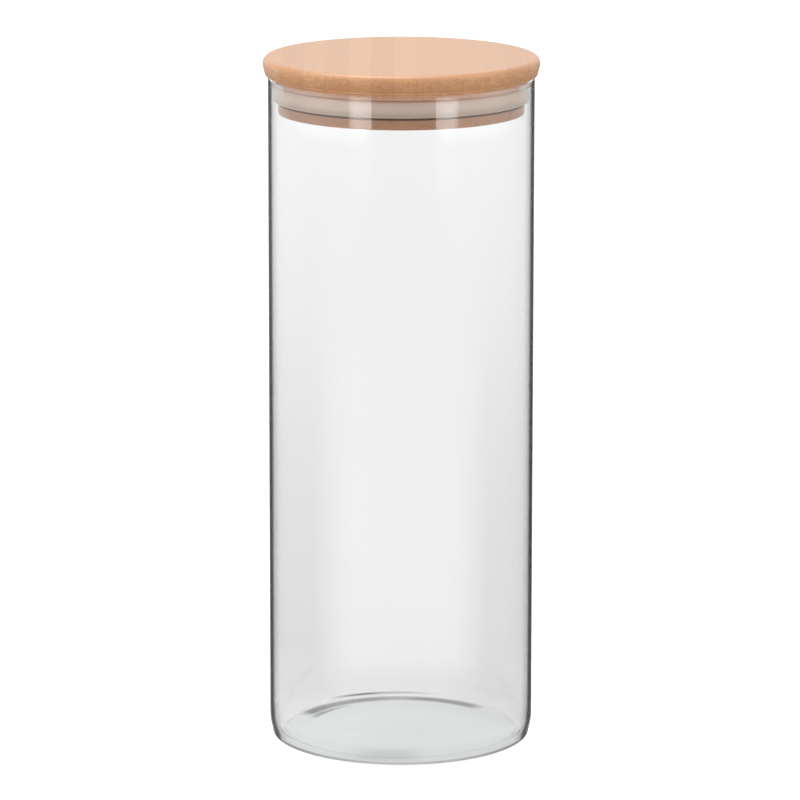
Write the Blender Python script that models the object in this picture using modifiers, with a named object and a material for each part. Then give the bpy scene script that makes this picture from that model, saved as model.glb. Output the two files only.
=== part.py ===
"""Glass storage jar with a turned bamboo lid and a silicone sealing ring.

Metres, +Z up. The origin is at the middle of the surface that the jar stands on.
The jar is three pieces: a glass body, a lid that plugs its mouth, and a ring in the plug's groove.
"""

import math

import bpy

# Glass body, driving sizes
GLASS_DIAMETER = 0.1000
GLASS_HEIGHT = 0.2553
WALL_THICKNESS = 0.0020
BASE_THICKNESS = 0.0026
HEEL_RADIUS = 0.0055
INNER_HEEL_RADIUS = 0.0038
FOOT_RING_WIDTH = 0.0045
PUSH_UP_HEIGHT = 0.0008
PUSH_UP_SLOPE_WIDTH = 0.0080

# Lid, driving sizes
LID_DIAMETER = 0.1038
LID_PLATE_THICKNESS = 0.0064
LID_TOP_ROUNDING = 0.0012
LID_UNDER_ROUNDING = 0.0026
PLUG_GLASS_CLEARANCE = 0.0018
PLUG_NECK_HEIGHT = 0.0033
PLUG_LIP_HEIGHT = 0.0037
PLUG_EDGE_ROUNDING = 0.0005
GROOVE_DEPTH = 0.0030
GROOVE_PLAY_HEIGHT = 0.0012

# Sealing ring, driving sizes
SEAL_HEIGHT = 0.0057
SEAL_CORNER_ROUNDING = 0.0011

# Clearances between pieces
LID_SEAT_GAP = 0.0003
SEAL_GLASS_CLEARANCE = 0.0003
SEAL_GROOVE_CLEARANCE = 0.0003

# Fineness of the turned solids
TURNING_STEPS = 72
RIM_ARC_POINTS = 7
HEEL_ARC_POINTS = 7
PUSH_UP_POINTS = 5
EDGE_ARC_POINTS = 5
SMALL_ARC_POINTS = 3
SEAL_ARC_POINTS = 4
MERGE_DISTANCE = 0.00001
SHARP_ANGLE = math.radians(35)

# Sizes that follow
GLASS_RADIUS = GLASS_DIAMETER / 2
BORE_RADIUS = GLASS_RADIUS - WALL_THICKNESS
LID_RADIUS = LID_DIAMETER / 2
LID_SEAT_HEIGHT = GLASS_HEIGHT + LID_SEAT_GAP
PLUG_RADIUS = BORE_RADIUS - PLUG_GLASS_CLEARANCE
GROOVE_RADIUS = PLUG_RADIUS - GROOVE_DEPTH
GROOVE_HEIGHT = SEAL_GROOVE_CLEARANCE + SEAL_HEIGHT + GROOVE_PLAY_HEIGHT
GROOVE_TOP = -PLUG_NECK_HEIGHT
GROOVE_BOTTOM = GROOVE_TOP - GROOVE_HEIGHT
PLUG_DEPTH = PLUG_NECK_HEIGHT + GROOVE_HEIGHT + PLUG_LIP_HEIGHT
SEAL_OUTER_RADIUS = BORE_RADIUS - SEAL_GLASS_CLEARANCE
SEAL_INNER_RADIUS = GROOVE_RADIUS + SEAL_GROOVE_CLEARANCE
SEAL_TOP = GROOVE_TOP - SEAL_GROOVE_CLEARANCE

# Plain colours of the pieces
GLASS_COLOUR = (0.90, 0.94, 0.93, 1.0)
BAMBOO_COLOUR = (0.66, 0.43, 0.25, 1.0)
SILICONE_COLOUR = (0.78, 0.75, 0.70, 1.0)


def clear_scene():
    """Removes the objects that a new file starts with."""
    for old in list(bpy.data.objects):
        bpy.data.objects.remove(old, do_unlink=True)


def make_collection(name):
    collection = bpy.data.collections.new(name)
    bpy.context.scene.collection.children.link(collection)
    return collection


def make_material(name, colour, roughness, transmission):
    material = bpy.data.materials.new(name)
    material.use_nodes = True
    material.diffuse_color = colour
    shader = material.node_tree.nodes["Principled BSDF"]
    shader.inputs["Base Color"].default_value = colour
    shader.inputs["Roughness"].default_value = roughness
    shader.inputs["Metallic"].default_value = 0.0
    shader.inputs["Transmission Weight"].default_value = transmission
    return material


def arc(centre, radius, start, end, points):
    """Points of an arc in the profile's plane, as (distance from the axis, height), angles in degrees."""
    places = []
    for index in range(points):
        angle = math.radians(start + (end - start) * index / (points - 1))
        places.append((centre[0] + radius * math.cos(angle), centre[1] + radius * math.sin(angle)))
    return places


def turn(name, profile, closed, collection, material):
    """Makes a turned solid from a profile that runs down the outer side of the piece."""
    mesh = bpy.data.meshes.new(name)
    edges = [(index, index + 1) for index in range(len(profile) - 1)]
    if closed:
        edges.append((len(profile) - 1, 0))
    mesh.from_pydata([(distance, 0, height) for distance, height in profile], edges, [])
    piece = bpy.data.objects.new(name, mesh)
    collection.objects.link(piece)
    screw = piece.modifiers.new("turned about the axis", "SCREW")
    screw.axis = "Z"
    screw.angle = math.tau
    screw.steps = TURNING_STEPS
    screw.render_steps = TURNING_STEPS
    screw.use_merge_vertices = True
    screw.merge_threshold = MERGE_DISTANCE
    evaluated = piece.evaluated_get(bpy.context.evaluated_depsgraph_get())
    turned = bpy.data.meshes.new_from_object(evaluated)
    piece.modifiers.clear()
    piece.data = turned
    bpy.data.meshes.remove(mesh)
    turned.name = name
    turned.shade_smooth()
    turned.set_sharp_from_angle(angle=SHARP_ANGLE)
    turned.materials.append(material)
    return piece


def push_up_curve(outer_distance, ring_height):
    """Soft slope from the flat foot ring up to the raised middle of the base, run towards the axis."""
    places = []
    for index in range(PUSH_UP_POINTS):
        share = index / (PUSH_UP_POINTS - 1)
        rise = PUSH_UP_HEIGHT * (1 - math.cos(math.pi * share)) / 2
        places.append((outer_distance - PUSH_UP_SLOPE_WIDTH * share, ring_height + rise))
    return places


def glass_profile():
    """From the middle of the inner floor, up the bore, over the rim and down the outside to the base."""
    foot_outer = GLASS_RADIUS - HEEL_RADIUS
    foot_inner = foot_outer - FOOT_RING_WIDTH
    inner_floor = list(reversed(push_up_curve(foot_inner, BASE_THICKNESS)))
    inner_heel = arc(
        (BORE_RADIUS - INNER_HEEL_RADIUS, BASE_THICKNESS + INNER_HEEL_RADIUS),
        INNER_HEEL_RADIUS, -90, 0, HEEL_ARC_POINTS)
    rim_radius = WALL_THICKNESS / 2
    rim = arc((GLASS_RADIUS - rim_radius, GLASS_HEIGHT - rim_radius), rim_radius, 180, 0, RIM_ARC_POINTS)
    heel = arc((foot_outer, HEEL_RADIUS), HEEL_RADIUS, 0, -90, HEEL_ARC_POINTS)
    underside = push_up_curve(foot_inner, 0)
    floor_middle = (0, BASE_THICKNESS + PUSH_UP_HEIGHT)
    underside_middle = (0, PUSH_UP_HEIGHT)
    return [floor_middle] + inner_floor + inner_heel + rim + heel + underside + [underside_middle]


def lid_profile():
    """From the middle of the top, down the edge of the plate, then down the plug to its underside.

    Heights are measured from the seat, the flat under the plate that meets the glass rim.
    """
    top_edge = arc(
        (LID_RADIUS - LID_TOP_ROUNDING, LID_PLATE_THICKNESS - LID_TOP_ROUNDING),
        LID_TOP_ROUNDING, 90, 0, EDGE_ARC_POINTS)
    under_edge = arc((LID_RADIUS - LID_UNDER_ROUNDING, LID_UNDER_ROUNDING), LID_UNDER_ROUNDING, 0, -90, EDGE_ARC_POINTS)
    groove = [
        (PLUG_RADIUS, GROOVE_TOP),
        (GROOVE_RADIUS, GROOVE_TOP),
        (GROOVE_RADIUS, GROOVE_BOTTOM),
        (PLUG_RADIUS, GROOVE_BOTTOM),
    ]
    plug_edge = arc(
        (PLUG_RADIUS - PLUG_EDGE_ROUNDING, PLUG_EDGE_ROUNDING - PLUG_DEPTH),
        PLUG_EDGE_ROUNDING, 0, -90, SMALL_ARC_POINTS)
    return (
        [(0, LID_PLATE_THICKNESS)] + top_edge + under_edge + [(PLUG_RADIUS, 0)] + groove + plug_edge
        + [(0, -PLUG_DEPTH)])


def seal_profile():
    """Band with rounded corners, run down its outer side and up its inner side, measured from the seat."""
    low = SEAL_TOP - SEAL_HEIGHT + SEAL_CORNER_ROUNDING
    high = SEAL_TOP - SEAL_CORNER_ROUNDING
    outer = SEAL_OUTER_RADIUS - SEAL_CORNER_ROUNDING
    inner = SEAL_INNER_RADIUS + SEAL_CORNER_ROUNDING
    corners = (
        ((outer, high), 90, 0),
        ((outer, low), 0, -90),
        ((inner, low), -90, -180),
        ((inner, high), 180, 90),
    )
    places = []
    for centre, start, end in corners:
        places += arc(centre, SEAL_CORNER_ROUNDING, start, end, SEAL_ARC_POINTS)
    return places


def make_axis(name, height, parent, collection):
    """Empty on the jar's axis, which a moving piece hangs from."""
    axis = bpy.data.objects.new(name, None)
    axis.empty_display_size = LID_RADIUS
    axis.location.z = height
    axis.parent = parent
    collection.objects.link(axis)
    return axis


def build():
    clear_scene()
    jar = make_collection("storage_jar")
    glass = make_material("clear_glass", GLASS_COLOUR, 0.02, 1.0)
    bamboo = make_material("bamboo", BAMBOO_COLOUR, 0.55, 0.0)
    silicone = make_material("silicone", SILICONE_COLOUR, 0.35, 0.3)

    turn("glass_body", glass_profile(), False, jar, glass)

    lift_axis = make_axis("lid_lift_axis", LID_SEAT_HEIGHT, None, jar)
    seal = turn("silicone_seal", seal_profile(), True, jar, silicone)
    seal.parent = lift_axis

    turn_axis = make_axis("lid_turn_axis", 0, lift_axis, jar)
    lid = turn("bamboo_lid", lid_profile(), False, jar, bamboo)
    lid.parent = turn_axis


build()
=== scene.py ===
import math

import bpy
from mathutils import Matrix, Vector


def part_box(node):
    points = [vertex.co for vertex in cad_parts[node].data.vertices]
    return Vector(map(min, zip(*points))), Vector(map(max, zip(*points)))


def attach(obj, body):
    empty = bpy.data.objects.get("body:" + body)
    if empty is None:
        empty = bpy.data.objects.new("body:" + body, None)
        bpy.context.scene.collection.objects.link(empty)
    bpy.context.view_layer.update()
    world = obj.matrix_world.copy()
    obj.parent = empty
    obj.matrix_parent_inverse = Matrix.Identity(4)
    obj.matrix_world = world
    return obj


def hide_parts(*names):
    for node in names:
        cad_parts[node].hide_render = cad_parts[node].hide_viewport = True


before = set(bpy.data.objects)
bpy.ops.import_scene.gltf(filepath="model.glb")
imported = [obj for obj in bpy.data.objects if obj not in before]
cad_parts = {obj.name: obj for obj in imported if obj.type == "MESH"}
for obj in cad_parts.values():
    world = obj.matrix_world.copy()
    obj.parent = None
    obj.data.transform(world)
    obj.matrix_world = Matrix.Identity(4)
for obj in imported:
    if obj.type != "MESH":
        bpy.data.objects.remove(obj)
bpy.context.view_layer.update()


# Glass body
# A straight tube of clear glass, closed with a flat base that is pushed up a little in its middle.
# Its rim is melted round in a flame. It stands by itself, and carries the lid and the ring.
glass_low, glass_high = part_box("glass_body")
base_height = glass_low.z
glass_radius = glass_high.x
glass_height = glass_high.z
wall_thickness = 0.0020
base_thickness = 0.0026
bore_radius = glass_radius - wall_thickness
inner_heel_rounding = 0.0038
heel_width = 0.0051
heel_lean = 0.0013
heel_lean_height = 0.0070
heel_lean_rounding = 0.0150
heel_corner_height = 0.0010
heel_corner_rounding = 0.0014
foot_ring_width = 0.0049
foot_edge_rounding = 0.0050
push_up_height = 0.0008
push_up_slope_width = 0.0200
push_up_rounding = 0.2000
# The rim's two arcs stop just short of each other, so that no two points of the outline meet.
rim_rounding = wall_thickness / 2.001


def rounded_outline(corners, closed):
    """Outline of a turned piece from its corners, given as distance from the axis, height and rounding.

    Each rounding is an arc that leaves the straights smoothly, with a point kept on the straight
    beside it, so that a long wall stays straight to the eye right up to the arc.
    """
    arc_step = math.radians(7)
    fewest_arc_points = 5
    hold = 0.0004
    outline = []
    for index, (distance, height, rounding) in enumerate(corners):
        corner = Vector((distance, height))
        at_end = not closed and index in (0, len(corners) - 1)
        if at_end or not rounding:
            outline.append(corner)
            continue
        before = Vector(corners[index - 1][:2]) - corner
        after = Vector(corners[(index + 1) % len(corners)][:2]) - corner
        half_angle = before.angle(after) / 2
        reach = rounding / math.tan(half_angle)
        inwards = (before.normalized() + after.normalized()).normalized()
        centre = corner + inwards * rounding / math.sin(half_angle)
        start = corner + before.normalized() * reach - centre
        end = corner + after.normalized() * reach - centre
        turn = start.angle_signed(end)
        points = max(fewest_arc_points, round(abs(turn) / arc_step) + 1)
        if before.length > reach + 3 * hold:
            outline.append(corner + before.normalized() * (reach + hold))
        for point in range(points):
            outline.append(centre + Matrix.Rotation(-turn * point / (points - 1), 2) @ start)
        if after.length > reach + 3 * hold:
            outline.append(corner + after.normalized() * (reach + hold))
    return outline


class Recipe:
    """A tree of nodes that is being put together, with the few kinds of step that the jar needs."""

    def __init__(self, tree):
        self.tree = tree

    def fill(self, node, inputs):
        """Gives inputs of a node, found by name or number, a value or the output of another step."""
        for label, value in inputs.items():
            if isinstance(value, bpy.types.NodeSocket):
                self.tree.links.new(value, node.inputs[label])
            else:
                node.inputs[label].default_value = value

    def step(self, kind, inputs=None, **settings):
        """Adds a node, makes its settings and fills its inputs."""
        node = self.tree.nodes.new(kind)
        for setting, value in settings.items():
            setattr(node, setting, value)
        self.fill(node, inputs or {})
        return node

    def worked(self, operation, *values, clamped=False):
        """Works out one sum. A clamped result stays from 0 to 1."""
        inputs = dict(enumerate(values))
        return self.step("ShaderNodeMath", inputs, operation=operation, use_clamp=clamped).outputs[0]

    def product(self, value, *others):
        """Multiplies all values."""
        for other in others:
            value = self.worked("MULTIPLY", value, other)
        return value

    def greatest(self, value, *others):
        """Picks the greatest value."""
        for other in others:
            value = self.worked("MAXIMUM", value, other)
        return value

    def opposite(self, value):
        """What is left of 1 after a value is taken away."""
        return self.worked("SUBTRACT", 1, value)

    def ranged(self, value, start, end, first=0, last=1, smooth=True):
        """Goes from the first tone to the last while the value goes from start to end."""
        inputs = {"Value": value, "From Min": start, "From Max": end, "To Min": first, "To Max": last}
        kind = "SMOOTHSTEP" if smooth else "LINEAR"
        return self.step("ShaderNodeMapRange", inputs, interpolation_type=kind).outputs[0]

    def band(self, value, rise, fall):
        """Is 1 in a band and 0 beyond it. It rises between two values, and falls between two more."""
        return self.product(self.ranged(value, *rise), self.ranged(value, *fall, 1, 0))

    def toned(self, value, tones):
        """Grey that a value picks from a row of tones, each given with its place in the row."""
        ramp = self.step("ShaderNodeValToRGB", {"Fac": value})
        elements = ramp.color_ramp.elements
        for element, (place, tone) in zip(elements, (tones[0], tones[-1])):
            element.position = place
            element.color = (tone, tone, tone, 1)
        for place, tone in tones[1:-1]:
            element = elements.new(place)
            element.color = (tone, tone, tone, 1)
        return ramp.outputs["Color"]

    def parts(self, vector):
        """The X, Y and Z of a place or a direction."""
        return list(self.step("ShaderNodeSeparateXYZ", {0: vector}).outputs)

    def noise(self, place, scale, detail):
        """Uneven tone, as fine along each of the three ways as the scale says."""
        scaled = self.step("ShaderNodeMapping", {"Vector": place, "Scale": scale}).outputs[0]
        inputs = {"Vector": scaled, "Scale": 1, "Detail": detail}
        return self.step("ShaderNodeTexNoise", inputs).outputs["Fac"]

    def bumped(self, height, strength, distance):
        """Direction of a surface that a height makes uneven."""
        inputs = {"Height": height, "Strength": strength, "Distance": distance}
        return self.step("ShaderNodeBump", inputs).outputs[0]

    def tinted(self, share, colour, tint, kind="MIX"):
        """Colour with a share of another in it."""
        inputs = {"Factor": share, "A": colour, "B": tint}
        return self.step("ShaderNodeMix", inputs, data_type="RGBA", blend_type=kind).outputs["Result"]

    def covered(self, share, under, over):
        """Surface that is covered by another in some share."""
        return self.step("ShaderNodeMixShader", {0: share, 1: under, 2: over}).outputs[0]


def make_lathe():
    """Node tree of the lathe: it takes an outline drawn beside the axis and carries it once round it."""
    tree = bpy.data.node_groups.new("turned about the axis", "GeometryNodeTree")
    for label, kind in (
        ("Outline", "NodeSocketGeometry"),
        ("Turning steps", "NodeSocketInt"),
        ("Carrying radius", "NodeSocketFloat"),
        ("Weld distance", "NodeSocketFloat"),
        ("Finish", "NodeSocketMaterial"),
    ):
        tree.interface.new_socket(label, in_out="INPUT", socket_type=kind)
    tree.interface.new_socket("Turned piece", in_out="OUTPUT", socket_type="NodeSocketGeometry")
    recipe = Recipe(tree)
    given = recipe.step("NodeGroupInput").outputs
    inwards = recipe.worked("MULTIPLY", given["Carrying radius"], -1)
    beside_circle = recipe.step("ShaderNodeCombineXYZ", {"X": inwards})
    section = recipe.step("GeometryNodeMeshToCurve", {"Mesh": given["Outline"]})
    laid_flat = recipe.step("GeometryNodeTransform", {
        "Geometry": section.outputs["Curve"],
        "Translation": beside_circle.outputs[0],
        "Rotation": (math.pi / 2, 0, 0),
    })
    circle = recipe.step("GeometryNodeCurvePrimitiveCircle", {
        "Resolution": given["Turning steps"],
        "Radius": given["Carrying radius"],
    })
    carried = recipe.step("GeometryNodeCurveToMesh", {
        "Curve": circle.outputs["Curve"],
        "Profile Curve": laid_flat.outputs["Geometry"],
    })
    facing_out = recipe.step("GeometryNodeFlipFaces", {"Mesh": carried.outputs["Mesh"]})
    welded = recipe.step("GeometryNodeMergeByDistance", {
        "Geometry": facing_out.outputs["Mesh"],
        "Distance": given["Weld distance"],
    })
    smooth = recipe.step("GeometryNodeSetShadeSmooth", {"Geometry": welded.outputs["Geometry"]})
    real = recipe.step("GeometryNodeRealizeInstances", {"Geometry": smooth.outputs["Geometry"]})
    finished = recipe.step("GeometryNodeSetMaterial", {
        "Geometry": real.outputs["Geometry"],
        "Material": given["Finish"],
    })
    recipe.step("NodeGroupOutput", {"Turned piece": finished.outputs["Geometry"]})
    return tree


lathe_tree = make_lathe()


def turned(name, outline, closed, finish):
    """Turns an outline about the jar's axis, and returns the piece as a plain mesh with its finish on."""
    sizes = {
        "Turning steps": 288,
        "Carrying radius": glass_radius,
        "Weld distance": 0.000001,
        "Finish": finish,
    }
    drawn = bpy.data.meshes.new(name + "_outline")
    edges = [(index, index + 1) for index in range(len(outline) - 1)]
    if closed:
        edges.append((len(outline) - 1, 0))
    drawn.from_pydata([(distance, 0, height) for distance, height in outline], edges, [])
    piece = bpy.data.objects.new(name, drawn)
    bpy.context.scene.collection.objects.link(piece)
    lathe = piece.modifiers.new("turned about the axis", "NODES")
    lathe.node_group = lathe_tree
    for socket in lathe_tree.interface.items_tree:
        if socket.in_out == "INPUT" and socket.name in sizes:
            lathe[socket.identifier] = sizes[socket.name]
    evaluated = piece.evaluated_get(bpy.context.evaluated_depsgraph_get())
    mesh = bpy.data.meshes.new_from_object(evaluated)
    piece.modifiers.clear()
    piece.data = mesh
    mesh.name = name
    bpy.data.meshes.remove(drawn)
    return piece


def drawn_wall(recipe, place):
    """The wall as drawn: draw lines run its length, millimetres apart and far too shallow to feel."""
    draw_lines = recipe.noise(place, (160, 160, 6), 2)
    wall = recipe.step("ShaderNodeBsdfPrincipled", {
        "Base Color": (0.935, 0.938, 0.937, 1),
        "Roughness": 0.0,
        "IOR": 1.5,
        "Transmission Weight": 1.0,
        "Normal": recipe.bumped(draw_lines, 0.15, 0.00005),
    })
    return wall.outputs[0]


def edge_darkness(recipe, height, facing, sideways):
    """Painted shade: the wall is painted dark where it is seen edge on, steeply at the very edge and a
    little more low down.
    """
    near_heel = recipe.ranged(height, 0.006, 0.018, 0.04, 0)
    edge = recipe.toned(recipe.worked("ADD", facing, near_heel), (
        (0.56, 0.0), (0.635, 0.01), (0.735, 0.31), (0.78, 0.74), (0.807, 0.87), (0.87, 0.88), (1.0, 0.1)))
    low_on_wall = recipe.ranged(height, 0.2 * glass_height, 0.92 * glass_height, 1, 0)
    off_heel = recipe.ranged(height, 0.010, 0.045)
    veil = recipe.product(sideways, low_on_wall, off_heel, recipe.opposite(edge))
    under_rim = recipe.ranged(height, glass_height - 0.0004, glass_height - 0.00005, 1, 0)
    return recipe.product(recipe.worked("ADD", edge, veil), under_rim)


def foot_darkness(recipe, height, off_middle):
    """Painted shade: a dark line is painted along the foot of the heel, stronger and higher towards its
    left and right.
    """
    line_height = recipe.worked("SUBTRACT", height, recipe.product(off_middle, 0.0009))
    line_strength = recipe.worked("MULTIPLY_ADD", off_middle, 0.36, 0.3)
    line = recipe.product(recipe.ranged(line_height, 0.0014, 0.0023, 1, 0), line_strength)
    return recipe.greatest(line, recipe.ranged(height, 0.0036, 0.0042, 0.07, 0))


def bend_darkness(recipe, across, deep, height, out, from_outside):
    """Painted shade: where the inner floor bends up into the wall, dark lines are painted on the bend,
    stronger on one side.
    """
    bearing = recipe.worked("ARCTAN2", across, deep)
    round_back = recipe.worked("ADD", recipe.worked("DIVIDE", bearing, math.pi), 0.5)

    def by_bearing(tones):
        places = [((degrees + 90) / 180, tone) for degrees, tone in tones]
        return recipe.toned(round_back, [(0, 0)] + places + [(1, 0)])

    bend_reach = 0.0446
    floor_edge = recipe.product(recipe.band(out, (0.0366, 0.0396), (0.0420, bend_reach)), by_bearing((
        (-68, 0.0), (-60, 0.63), (-50, 0.62), (-44, 0.55), (-15, 0.56),
        (0, 0.42), (14, 0.58), (42, 0.55), (52, 0.0))))
    streak = recipe.product(recipe.band(out, (0.0336, 0.0352), (0.0364, 0.0382)), by_bearing((
        (-73, 0.0), (-66, 0.4), (-60, 0.45), (-50, 0.38), (-44, 0.3), (-38, 0.15), (-30, 0.0))))
    above_underside = recipe.worked("GREATER_THAN", height, 0.5 * base_thickness)
    below_wall = recipe.worked("LESS_THAN", height, 2 * base_thickness)
    on_floor = recipe.product(recipe.greatest(floor_edge, streak), above_underside, below_wall)
    wall_foot = recipe.band(height, (0.0030, 0.0033), (0.0036, 0.0039))
    past_bend = recipe.worked("GREATER_THAN", out, bend_reach)
    on_wall = recipe.product(wall_foot, past_bend, from_outside, by_bearing((
        (-38, 0.0), (-31, 0.3), (-24, 0.65), (-17, 0.75), (-8, 0.4), (0, 0.34), (8, 0.2), (20, 0.0))))
    return recipe.greatest(on_floor, on_wall)


def thin_glass(recipe, upright, outer_side, gleaming):
    """Glass of one even thinness: it bends nothing that is seen through it, and its skin still gleams."""
    standing = recipe.opposite(recipe.worked("POWER", recipe.worked("ABSOLUTE", upright), 4))
    tone = recipe.tinted(recipe.product(outer_side, standing), (1, 1, 1, 1), (0.915, 0.920, 0.918, 1))
    clear = recipe.step("ShaderNodeBsdfTransparent", {"Color": tone})
    gleam = recipe.step("ShaderNodeBsdfGlossy", {"Roughness": 0.0})
    glint = recipe.step("ShaderNodeFresnel", {"IOR": 1.5})
    share = recipe.product(glint.outputs[0], gleaming)
    return recipe.covered(share, clear.outputs[0], gleam.outputs[0])


def clear_glass():
    """Clear glass: with painted dark edges and lines, a painted pale line at its melted rim, and open to
    the lamps' light.
    """
    glass = bpy.data.materials.new("clear_glass")
    glass.use_nodes = True
    glass.node_tree.nodes.clear()
    recipe = Recipe(glass.node_tree)
    place = recipe.step("ShaderNodeTexCoord").outputs
    across, deep, height = recipe.parts(place["Object"])
    upright = recipe.parts(place["Normal"])[2]
    facing = recipe.step("ShaderNodeLayerWeight", {"Blend": 0.5}).outputs["Facing"]
    sideways = recipe.ranged(facing, 0.06, 0.30, 0, 0.15)
    leaving = recipe.step("ShaderNodeNewGeometry").outputs["Backfacing"]
    from_outside = recipe.opposite(leaving)

    # The outer skin is where the surface looks away from the axis, and the floor is where it looks up.
    from_axis = recipe.step("ShaderNodeCombineXYZ", {"X": across, "Y": deep}).outputs[0]
    out = recipe.step("ShaderNodeVectorMath", {0: from_axis}, operation="LENGTH").outputs["Value"]
    both_ways = {0: from_axis, 1: place["Normal"]}
    away = recipe.step("ShaderNodeVectorMath", both_ways, operation="DOT_PRODUCT").outputs["Value"]
    outward = recipe.worked("MULTIPLY", away, 4000, clamped=True)
    level = recipe.worked("MULTIPLY", upright, 3, clamped=True)
    outer_skin = recipe.product(outward, from_outside, recipe.opposite(level))

    across_share = recipe.worked("DIVIDE", across, glass_radius)
    off_middle = recipe.product(across_share, across_share)
    # Painted shade: a dark line inside the far rim. It and the painted dark edge, foot line and bend lines
    # are laid on as a near-black see-through surface.
    far_rim = recipe.product(
        recipe.ranged(height, glass_height - 0.0011, glass_height - 0.0006, 0, 0.4),
        recipe.opposite(outward), from_outside)
    darkness = recipe.greatest(
        recipe.product(edge_darkness(recipe, height, facing, sideways), outer_skin),
        recipe.product(foot_darkness(recipe, height, off_middle), outer_skin),
        far_rim, bend_darkness(recipe, across, deep, height, out, from_outside))
    dark = recipe.step("ShaderNodeBsdfTransparent", {"Color": (0.02, 0.021, 0.021, 1)})

    # The heel and the rim are worked evenly thin, and bend little of what is seen through them. What
    # has passed into the wall leaves it a little further on, so there the thin parts reach further.
    low_place = recipe.worked("SUBTRACT", height, recipe.product(leaving, 0.0025))
    high_place = recipe.worked("ADD", height, recipe.product(leaving, 0.0015))
    low_down = recipe.ranged(low_place, 0.00605, 0.0099, 1, 0)
    high_up = recipe.ranged(high_place, glass_height - 0.0018, glass_height - 0.0012)
    outer_side = recipe.worked("ABSOLUTE", recipe.worked("SUBTRACT", outward, leaving))
    gleaming = recipe.greatest(outer_skin, recipe.product(level, from_outside))
    thin = thin_glass(recipe, upright, outer_side, gleaming)
    wall = recipe.covered(recipe.greatest(low_down, high_up), drawn_wall(recipe, place["Object"]), thin)

    # Painted highlight: a pale line is painted on the melted rim by mixing in a white matt surface, palest
    # at its left and right ends.
    glow = recipe.step("ShaderNodeBsdfDiffuse", {"Color": (0.8, 0.8, 0.8, 1)})
    on_rim = recipe.ranged(height, glass_height - 0.0036, glass_height - 0.0024)
    at_ends = recipe.ranged(off_middle, 0.72, 0.82, 0, 0.3)
    paleness = recipe.worked("ADD", recipe.worked("MULTIPLY_ADD", sideways, 1.1, 0.11), at_ends)
    wall = recipe.covered(recipe.product(on_rim, paleness, outer_skin), wall, glow.outputs[0])
    wall = recipe.covered(darkness, wall, dark.outputs[0])

    # The light of the lamps, and light that has gone to and fro in the wall, goes straight through.
    path = recipe.step("ShaderNodeLightPath").outputs
    trapped = recipe.worked("GREATER_THAN", path["Ray Depth"], 4.5)
    let_through = recipe.greatest(path["Is Shadow Ray"], path["Is Diffuse Ray"], trapped)
    lit_through = recipe.step("ShaderNodeBsdfTransparent", {"Color": (0.95, 0.96, 0.96, 1)})
    whole = recipe.covered(let_through, wall, lit_through.outputs[0])
    recipe.step("ShaderNodeOutputMaterial", {"Surface": whole})
    return glass


foot_outer = glass_radius - heel_width
foot_inner = foot_outer - foot_ring_width
slope_inner = foot_inner - push_up_slope_width
inner_floor = base_height + base_thickness
glass_outline = rounded_outline([
    (0, base_height + push_up_height, 0),
    (slope_inner, base_height + push_up_height, push_up_rounding),
    (foot_inner, base_height, push_up_rounding),
    (foot_outer, base_height, foot_edge_rounding),
    (glass_radius - heel_lean, base_height + heel_corner_height, heel_corner_rounding),
    (glass_radius, base_height + heel_lean_height, heel_lean_rounding),
    (glass_radius, glass_height, rim_rounding),
    (bore_radius, glass_height, rim_rounding),
    (bore_radius, inner_floor, inner_heel_rounding),
    (foot_inner, inner_floor, push_up_rounding),
    (slope_inner, inner_floor + push_up_height, push_up_rounding),
    (0, inner_floor + push_up_height, 0),
], closed=False)
glass_body = turned("glass_wall_and_base", glass_outline, False, clear_glass())
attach(glass_body, "jar")
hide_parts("glass_body")


# Bamboo lid
# A round board glued up from bamboo strips laid side by side, turned to a plate with a plug under it.
# The plate rests on the glass rim and the plug fills the mouth. A groove round the plug holds the ring.
lid_low, lid_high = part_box("bamboo_lid")
lid_radius = lid_high.x
seat_gap = 0.0003
resting_gap = 0.00004
seat_height = glass_height + seat_gap
resting_height = glass_height + resting_gap
lid_top_rounding = 0.0023
lid_edge_rounding = 0.0030
lid_under_rounding = 0.0003
lid_lean = 0.0009
lid_lean_height = 0.0034
sanded_crown = 0.00015
crown_height = lid_high.z + sanded_crown
plug_clearance = 0.0018
plug_neck_height = 0.0033
plug_edge_rounding = 0.0005
groove_depth = 0.0030
groove_height = 0.0072
groove_corner_rounding = 0.0002
plug_radius = bore_radius - plug_clearance
groove_radius = plug_radius - groove_depth
groove_top = seat_height - plug_neck_height
groove_bottom = groove_top - groove_height
strip_width = 0.0084
# The strips are counted from far to the left, and the axis lies about a third into one of them.
strip_count_at_axis = 20.32


def seen_colour(red, green, blue):
    """Colour that a camera records as these parts of 255, as the share of light it gives back."""
    shares = []
    for part in (red, green, blue):
        part = part / 255
        shares.append(part / 12.92 if part < 0.04045 else ((part + 0.055) / 1.055) ** 2.4)
    return (*shares, 1)


pale_strip = seen_colour(224, 166, 118)
dark_strip = seen_colour(200, 141, 93)
fibre_brown = seen_colour(164, 112, 74)
light_fleck = seen_colour(232, 192, 152)
glue_line = seen_colour(150, 102, 68)
# Tints for the painted shade on the plate's lower edge and on the lip.
edge_shade_tint = seen_colour(223, 212, 197)
lip_shade_tint = seen_colour(208, 197, 187)


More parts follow.
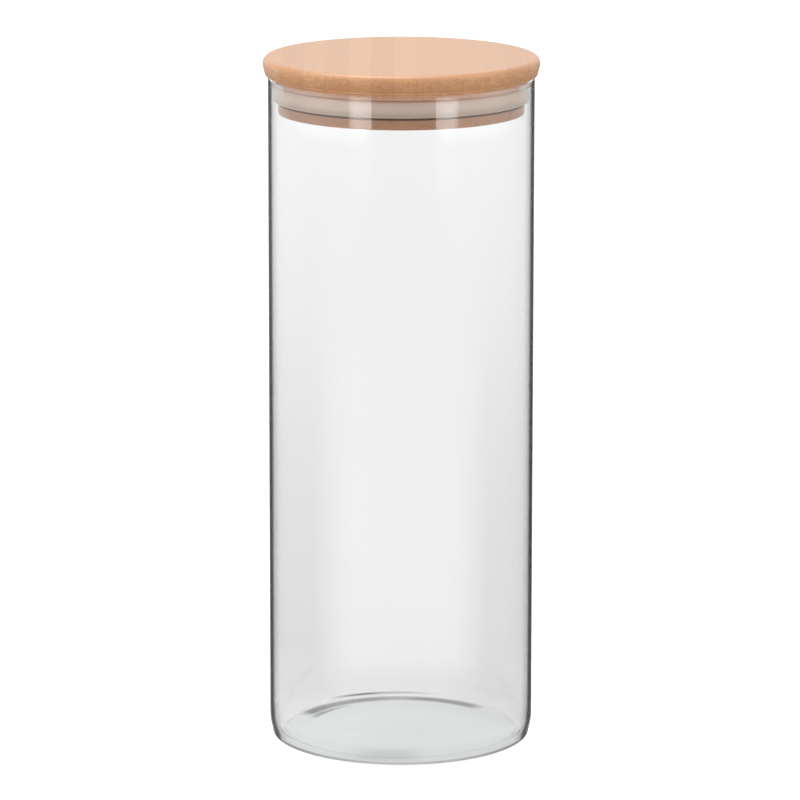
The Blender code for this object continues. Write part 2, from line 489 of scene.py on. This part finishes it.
def oiled_bamboo():
    """Oiled bamboo strips: their fibres run along Y, and end as dots at the front and back of the lid."""
    bamboo = bpy.data.materials.new("bamboo")
    bamboo.use_nodes = True
    recipe = Recipe(bamboo.node_tree)
    place = recipe.step("ShaderNodeTexCoord").outputs
    across, along, height = recipe.parts(place["Object"])
    flat = recipe.worked("ABSOLUTE", recipe.parts(place["Normal"])[2])

    # Each strip has its own tone, and its fibres start at their own place.
    strips = recipe.worked("ADD", recipe.worked("DIVIDE", across, strip_width), strip_count_at_axis)
    strip_number = recipe.worked("FLOOR", strips)
    dice = recipe.step("ShaderNodeTexWhiteNoise", {"W": strip_number}, noise_dimensions="1D")
    strip_dice = dice.outputs["Value"]
    fibre_place = recipe.step("ShaderNodeCombineXYZ", {
        "X": across,
        "Y": recipe.worked("ADD", along, strip_dice),
        "Z": recipe.worked("ADD", height, recipe.product(strip_dice, 0.03)),
    }).outputs[0]
    fine_fibres = recipe.noise(fibre_place, (2600, 60, 2600), 3)
    broad_fibres = recipe.noise(fibre_place, (420, 9, 420), 2)
    dots = recipe.noise(fibre_place, (900, 110, 900), 2)

    # Fibre bundles: dark dots on the cut ends, long streaks along the strip.
    bundle_place = recipe.step("ShaderNodeMapping", {"Vector": fibre_place, "Scale": (1000, 22, 1000)})
    bundles = recipe.step(
        "ShaderNodeTexVoronoi", {"Vector": bundle_place.outputs[0], "Scale": 1}, feature="F1")

    # Near the left and right of the lid the strips were sawn along their layers, which show as patches.
    layered = recipe.ranged(recipe.worked("ABSOLUTE", across), 0.4 * lid_radius, 0.62 * lid_radius)
    patches = recipe.noise(fibre_place, (330, 70, 1000), 2)
    patch = recipe.product(recipe.ranged(patches, 0.55, 0.7167, 0, 0.75, smooth=False), layered)

    # The joints between the strips are thin lines of glue.
    off_strip_middle = recipe.worked("SUBTRACT", recipe.worked("FRACT", strips), 0.5)
    to_joint = recipe.product(recipe.worked("ABSOLUTE", off_strip_middle), 2)

    # The sanded top shows its pattern faintly, the turned edge and the plug show it plainly.
    plainly = recipe.opposite(recipe.product(flat, 0.8))
    colour = recipe.tinted(recipe.product(strip_dice, 0.4), pale_strip, dark_strip)
    for share, tint in (
        (recipe.ranged(broad_fibres, 0.42, 1.045, smooth=False), dark_strip),
        (recipe.ranged(fine_fibres, 0.56, 1.0145, smooth=False), light_fleck),
        (patch, light_fleck),
        (recipe.ranged(dots, 0.56, 0.76, 0, 0.3, smooth=False), light_fleck),
        (recipe.ranged(dots, 0.42, 0.22, 0, 0.25, smooth=False), fibre_brown),
        (recipe.ranged(bundles.outputs["Distance"], 0.42, 0.16, 0, 0.38, smooth=False), fibre_brown),
        (recipe.ranged(to_joint, 0.955, 0.99, 0, 0.3, smooth=False), glue_line),
    ):
        colour = recipe.tinted(recipe.product(share, plainly), colour, tint)

    # Painted shade: the plate's edge is made darker towards its lower side, and the lip below the groove
    # is made darker still.
    low_on_edge = recipe.ranged(height, lid_high.z, seat_height, smooth=False)
    on_edge = recipe.product(low_on_edge, recipe.worked("GREATER_THAN", height, seat_height))
    colour = recipe.tinted(on_edge, colour, edge_shade_tint, "MULTIPLY")
    on_lip = recipe.worked("LESS_THAN", height, groove_bottom + 2 * groove_corner_rounding)
    colour = recipe.tinted(on_lip, colour, lip_shade_tint, "MULTIPLY")

    # The flat top is sanded finer than the turned edge, and shines a little when it is seen low.
    turned_dullness = recipe.worked("MULTIPLY_ADD", fine_fibres, 0.14, 0.46)
    recipe.fill(bamboo.node_tree.nodes["Principled BSDF"], {
        "Base Color": colour,
        "Roughness": recipe.worked("SUBTRACT", turned_dullness, recipe.product(flat, 0.22)),
        "Normal": recipe.bumped(fine_fibres, 0.25, 0.00008),
        "Coat Weight": 0.36,
        "Coat Roughness": 0.35,
        "Sheen Weight": 0.15,
        "Sheen Roughness": 0.4,
    })
    return bamboo


lid_outline = rounded_outline([
    (0, lid_low.z, 0),
    (plug_radius, lid_low.z, plug_edge_rounding),
    (plug_radius, groove_bottom, groove_corner_rounding),
    (groove_radius, groove_bottom, groove_corner_rounding),
    (groove_radius, groove_top, groove_corner_rounding),
    (plug_radius, groove_top, groove_corner_rounding),
    (plug_radius, resting_height, groove_corner_rounding),
    (lid_radius - lid_lean, resting_height, lid_under_rounding),
    (lid_radius, resting_height + lid_lean_height, lid_edge_rounding),
    (lid_radius, crown_height, lid_top_rounding),
    (0, crown_height, 0),
], closed=False)
lid = turned("turned_bamboo_lid", lid_outline, False, oiled_bamboo())
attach(lid, "lid")
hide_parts("bamboo_lid")


# Sealing ring
# A soft band of milky silicone, moulded in one piece and stretched over the plug into its groove.
# It fills the gap between the plug and the bore, and grips the glass when the lid is pushed in.
ring_low, ring_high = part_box("silicone_seal")
ring_radius = ring_high.x
ring_groove_clearance = 0.0003
ring_inner_radius = groove_radius + ring_groove_clearance
ring_corner_rounding = 0.0011
pressed_up = 0.0002
hanging_down = 0.0004
ring_top = ring_high.z + pressed_up
ring_bottom = ring_low.z - hanging_down
thick_silicone = seen_colour(211, 186, 169)
thin_silicone = seen_colour(220, 196, 180)
shaded_silicone = seen_colour(170, 146, 124)


def milky_silicone():
    """Milky silicone: light goes into it a little way, its moulded skin is slightly uneven, and its lower
    half has painted shade.
    """
    silicone = bpy.data.materials.new("silicone")
    silicone.use_nodes = True
    recipe = Recipe(silicone.node_tree)
    place = recipe.step("ShaderNodeTexCoord").outputs["Object"]
    clouds = recipe.noise(place, (90, 90, 90), 3)
    milk = recipe.tinted(clouds, thick_silicone, thin_silicone)
    height = recipe.parts(place)[2]
    # Painted shade: the lower half of the band is made darker.
    shade_height = ring_low.z + 0.55 * (ring_high.z - ring_low.z)
    lower_half = recipe.ranged(height, shade_height, ring_low.z, 0, 0.8)
    recipe.fill(silicone.node_tree.nodes["Principled BSDF"], {
        "Base Color": recipe.tinted(lower_half, milk, shaded_silicone),
        "Roughness": recipe.ranged(clouds, 0, 1, 0.30, 0.42, smooth=False),
        "Subsurface Weight": 0.3,
        "Subsurface Radius": (1.0, 0.85, 0.7),
        "Subsurface Scale": 0.002,
    })
    return silicone


ring_outline = rounded_outline([
    (ring_inner_radius, ring_bottom, ring_corner_rounding),
    (ring_radius, ring_bottom, ring_corner_rounding),
    (ring_radius, ring_top, ring_corner_rounding),
    (ring_inner_radius, ring_top, ring_corner_rounding),
], closed=True)
ring = turned("silicone_sealing_ring", ring_outline, True, milky_silicone())
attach(ring, "sealing_ring")
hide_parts("silicone_seal")


# Floor
# A pale floor that reaches to the horizon, with painted shade round and under the jar.
# Mirrored in the glass it shows painted tones set by bearing and distance, dimmer than when seen directly.
floor_reach = 40
floor_height = -0.0001


def front_bearing(recipe, place_x, place_y):
    """Angle from the front of the jar, growing to the right."""
    return recipe.worked("ARCTAN2", place_x, recipe.product(place_y, -1))


def seen_floor(recipe, place_x, place_y, distance, camera_ray):
    """The floor as it is seen: matt, with painted shade round and under the jar, and light of its own."""
    # Painted shade: the matt tone is darker near the jar, and its own light is set by distance, with a
    # painted dip from about 70 to 110 mm out.
    matt_tone = recipe.ranged(distance, 0.04, 0.11, 0.76, 0.8)
    matt = recipe.step("ShaderNodeBsdfDiffuse", {"Color": matt_tone})
    own_light = recipe.toned(recipe.ranged(distance, 0, 2.5, smooth=False), (
        (0.0, 0.245), (0.017, 0.265), (0.02, 0.25), (0.028, 0.18), (0.034, 0.14), (0.045, 0.20),
        (0.08, 0.22), (0.20, 0.26), (0.40, 0.40), (0.60, 0.565), (1.0, 0.74)))

    def around(value, middle, half_width, softness):
        off = recipe.worked("ABSOLUTE", recipe.worked("SUBTRACT", value, middle))
        return recipe.ranged(off, half_width - softness, half_width + softness, 1, 0)

    # Painted shadow: a soft dark patch on the floor under the front of the base.
    front_shadow_patch = recipe.product(
        around(place_x, -0.0055, 0.0110, 0.0070), around(place_y, -0.0310, 0.0075, 0.0060))
    shaded_light = recipe.worked("MULTIPLY_ADD", front_shadow_patch, -0.17, own_light)
    beyond_foot = recipe.ranged(distance, 0.0455, 0.0470, 0, 0.25)
    strength = recipe.worked("MULTIPLY_ADD", camera_ray, beyond_foot, shaded_light)
    glow = recipe.step("ShaderNodeEmission", {"Strength": strength})
    return recipe.step("ShaderNodeAddShader", {0: matt.outputs[0], 1: glow.outputs[0]}).outputs[0]


def mirrored_floor(recipe, place_x, place_y, distance):
    """Painted reflection: the floor as the glass mirrors it is set dark in front, pale at both sides far
    off, and dim behind.
    """
    dark_middle = math.radians(2.5)
    bearing = recipe.worked("SUBTRACT", front_bearing(recipe, place_x, place_y), dark_middle)
    either_way = recipe.worked("ABSOLUTE", bearing)
    beside = recipe.ranged(either_way, math.radians(29), math.radians(36), smooth=False)
    behind = recipe.ranged(either_way, math.radians(75), math.radians(115))
    on_the_right = recipe.worked("GREATER_THAN", bearing, 0)
    less_on_the_right = recipe.opposite(recipe.product(on_the_right, 0.55))
    back_tone = recipe.product(recipe.ranged(distance, 0.5, 1.3, 0.35, 0.6), less_on_the_right, behind)
    side_tone = recipe.product(
        beside, recipe.ranged(distance, 1.45, 1.52, 0.1, 1.6), recipe.opposite(behind))
    strength = recipe.worked("ADD", side_tone, back_tone)
    return recipe.step("ShaderNodeEmission", {"Strength": strength}).outputs[0]


def pale_floor():
    """Pale floor paint, which gives the glass painted tones to mirror, dimmer than the floor seen
    directly.
    """
    paint = bpy.data.materials.new("pale_floor")
    paint.use_nodes = True
    paint.cycles.emission_sampling = "NONE"
    paint.node_tree.nodes.clear()
    recipe = Recipe(paint.node_tree)
    place = recipe.step("ShaderNodeNewGeometry").outputs["Position"]
    place_x, place_y, _ = recipe.parts(place)
    distance = recipe.step("ShaderNodeVectorMath", {0: place}, operation="LENGTH").outputs["Value"]
    path = recipe.step("ShaderNodeLightPath").outputs
    not_through_glass = recipe.worked("LESS_THAN", path["Transmission Depth"], 0.5)
    whole = recipe.covered(
        recipe.product(path["Is Glossy Ray"], not_through_glass),
        seen_floor(recipe, place_x, place_y, distance, path["Is Camera Ray"]),
        mirrored_floor(recipe, place_x, place_y, distance))
    recipe.step("ShaderNodeOutputMaterial", {"Surface": whole})
    return paint


floor_corners = [
    (side * floor_reach, end * floor_reach, floor_height)
    for side, end in ((-1, -1), (1, -1), (1, 1), (-1, 1))]
floor_mesh = bpy.data.meshes.new("floor")
floor_mesh.from_pydata(floor_corners, [], [(0, 1, 2, 3)])
floor_mesh.materials.append(pale_floor())
floor = bpy.data.objects.new("floor", floor_mesh)
bpy.context.scene.collection.objects.link(floor)


# Daylight
# Even daylight from all round. Looked at directly or through the glass it is white.
# What the glass mirrors of it is a little dimmer, and what it gives to the jar is dimmer still.
lighting_tone = 0.4
extra_mirrored_tone = 0.4


def even_daylight():
    """World of one even white."""
    daylight = bpy.data.worlds.new("daylight")
    daylight.use_nodes = True
    daylight.node_tree.nodes.clear()
    recipe = Recipe(daylight.node_tree)
    path = recipe.step("ShaderNodeLightPath").outputs
    unseen = recipe.worked("MULTIPLY_ADD", path["Is Glossy Ray"], extra_mirrored_tone, lighting_tone)
    strength = recipe.greatest(path["Is Camera Ray"], path["Is Transmission Ray"], unseen)
    sky = recipe.step("ShaderNodeBackground", {"Color": (1, 1, 1, 1), "Strength": strength})
    recipe.step("ShaderNodeOutputWorld", {"Surface": sky.outputs[0]})
    return daylight


bpy.context.scene.world = even_daylight()


# Lamps
# A broad softbox overhead and one at each side light the lid and the ring.
# Two upright softboxes in front draw the light bands down the glass.
aim_height = 0.2
upright_distance = 0.6
upright_low_end = 0.10
upright_high_end = 0.55
upright_fade_height = 0.10


def softbox(name, centre, aim, width, height, brightness):
    """Flat lamp that gives this brightness from each point of its face, beside 1 for the white floor."""
    light = bpy.data.lights.new(name, "AREA")
    light.shape = "RECTANGLE"
    light.size = width
    light.size_y = height
    light.energy = brightness * math.pi * width * height
    lamp = bpy.data.objects.new(name, light)
    lamp.location = centre
    lamp.rotation_euler = (Vector(aim) - Vector(centre)).to_track_quat("-Z", "Y").to_euler()
    lamp.visible_camera = False
    lamp.visible_transmission = False
    bpy.context.scene.collection.objects.link(lamp)
    return lamp


def fade_upright(lamp, bearing):
    """Makes an upright softbox brightest near its lower end, where the glass mirrors it."""
    lamp.data.use_nodes = True
    recipe = Recipe(lamp.data.node_tree)
    place_x, place_y, height = recipe.parts(recipe.step("ShaderNodeNewGeometry").outputs["Position"])
    up = recipe.ranged(height, upright_low_end, upright_low_end + upright_fade_height, smooth=False)
    upwards = recipe.toned(up, (
        (0.0, 0.0), (0.17, 0.0), (0.22, 0.07), (0.50, 0.08), (0.52, 1.0), (0.64, 0.7), (0.72, 0.06)))
    fade_start = math.radians(bearing + math.copysign(5, bearing))
    fade_end = math.radians(bearing + math.copysign(10, bearing))
    outwards = recipe.ranged(
        front_bearing(recipe, place_x, place_y), fade_start, fade_end, 1.0, 0.3, smooth=False)
    recipe.fill(lamp.data.node_tree.nodes["Emission"], {"Strength": recipe.product(upwards, outwards)})


softbox("overhead_softbox", (-0.25, 0.25, 1.6), (0, 0, aim_height), 1.0, 1.0, 4.1)
softbox("left_side_softbox", (-1.2, -0.4, 1.1), (0, 0, aim_height), 0.8, 0.8, 2.6)
softbox("right_side_softbox", (1.2, -0.4, 1.1), (0, 0, aim_height), 0.8, 0.8, 1.8)
for name, bearing, width in (("left_softbox", -34.2, 0.206), ("right_softbox", 38.6, 0.212)):
    middle = (upright_low_end + upright_high_end) / 2
    x = upright_distance * math.sin(math.radians(bearing))
    y = -upright_distance * math.cos(math.radians(bearing))
    upright_height = upright_high_end - upright_low_end
    upright = softbox(name, (x, y, middle), (0, 0, middle), width, upright_height, 6.0)
    fade_upright(upright, bearing)


# Camera
# It looks a little down on the jar from two metres, with a long lens, as the photograph does.
camera_place = Vector((0, -2.0414, 0.5673))
camera_pitch = math.radians(12.078)
camera_yaw = 0.00019
camera_roll = 0.0009
film_width = 36
focal_length = 247.89
lens = bpy.data.cameras.new("camera")
lens.sensor_width = film_width
lens.lens = focal_length
lens.clip_start = 0.1
lens.clip_end = 100
camera = bpy.data.objects.new("camera", lens)
camera.matrix_world = (
    Matrix.Translation(camera_place)
    @ Matrix.Rotation(camera_yaw, 4, "Z")
    @ Matrix.Rotation(math.pi / 2 - camera_pitch, 4, "X")
    @ Matrix.Rotation(camera_roll, 4, "Z"))
bpy.context.scene.collection.objects.link(camera)
bpy.context.scene.camera = camera
bpy.context.scene.view_settings.view_transform = "Standard"
bpy.context.scene.cycles.caustics_refractive = False
bpy.context.scene.cycles.caustics_reflective = False
bpy.context.scene.cycles.transparent_max_bounces = 48
